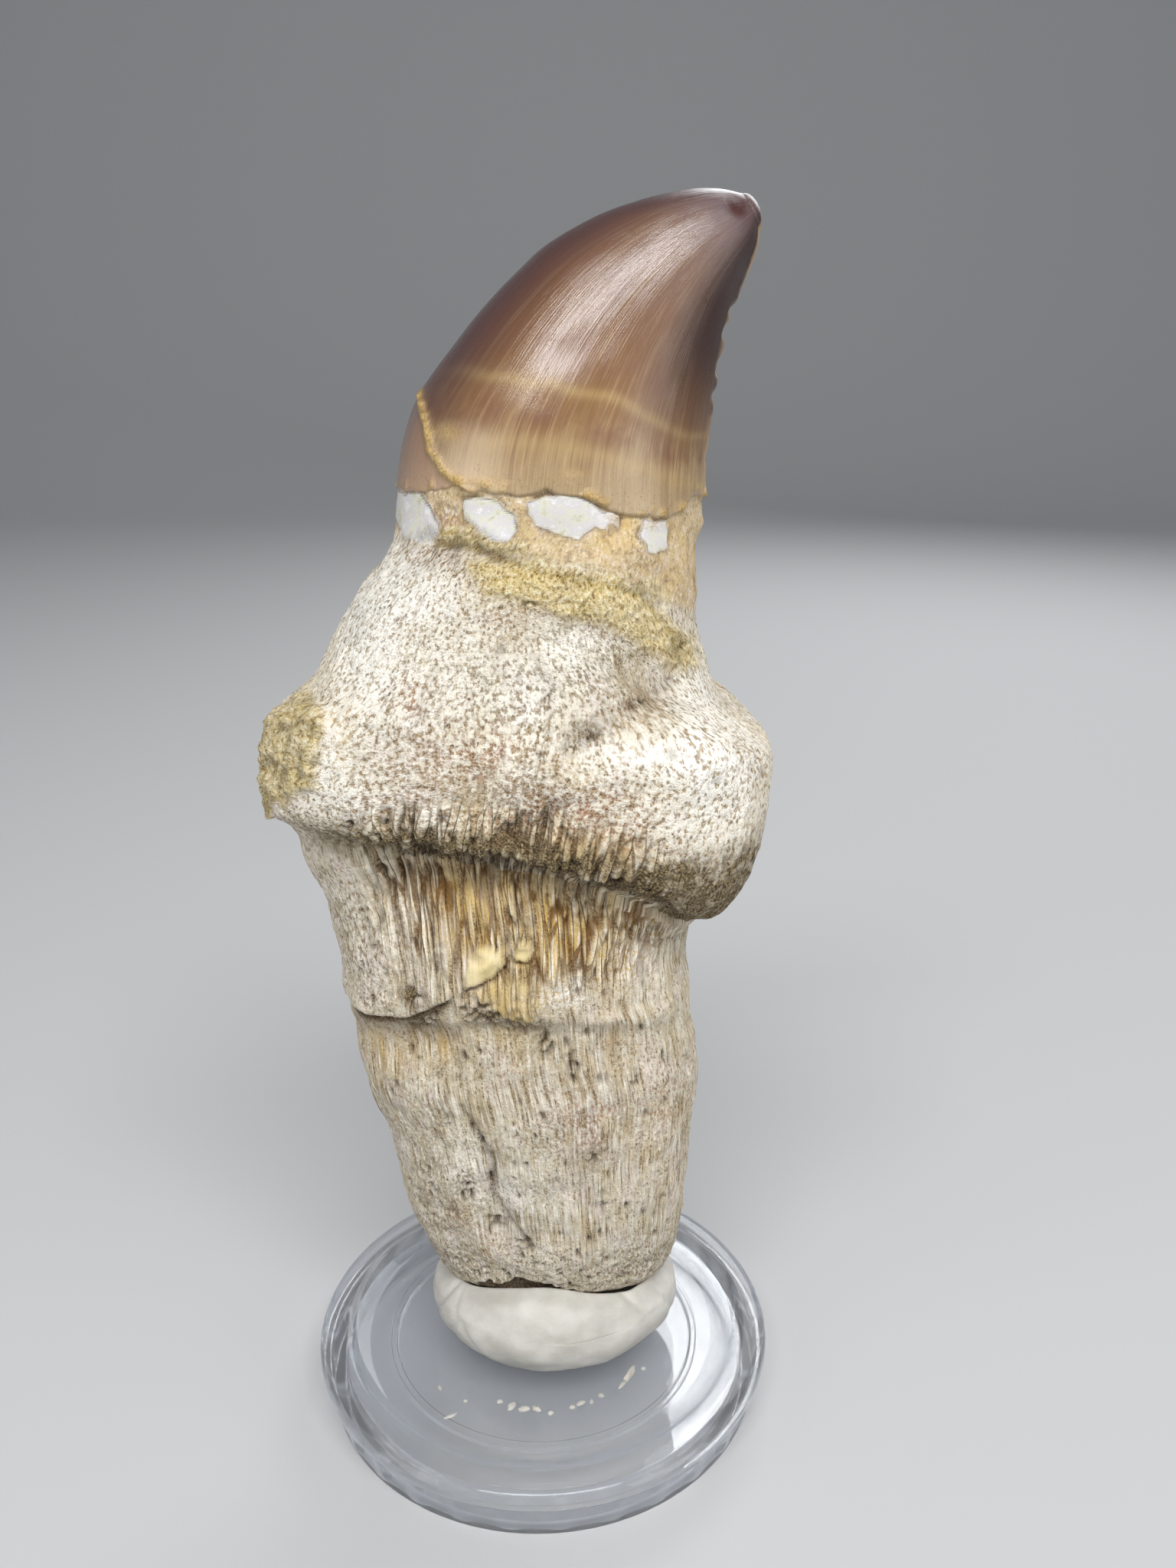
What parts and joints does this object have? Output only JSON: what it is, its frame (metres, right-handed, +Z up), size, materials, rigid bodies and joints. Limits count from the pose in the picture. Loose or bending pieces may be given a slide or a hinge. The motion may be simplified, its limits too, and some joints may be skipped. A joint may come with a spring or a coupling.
{
  "type": "fossil prognathodon mosasaur tooth",
  "caption": "Rooted fossil mosasaur tooth with a curved enamel crown and rough bone root, held upright in mounting putty on a round clear plastic base.",
  "frame": {"origin": "under the middle of the whole object, on the surface that the clear base stands on", "axes": "+Z up, -Y towards the viewer who faces the side of the crown, +X to that viewer's right, the way the crown's tip points"},
  "size_m": [0.0407, 0.04, 0.0977],
  "materials": {
    "fossil": "rough fibrous bone, with a satin enamel crown in brown and tan",
    "putty": "soft off-white mounting putty, smooth and dull",
    "clear_plastic": "polished clear moulded plastic"
  },
  "bodies": {
    "root": {"tooth": "fossil", "mounting_putty": "putty", "clear_base": "clear_plastic"}
  },
  "joints": []
}
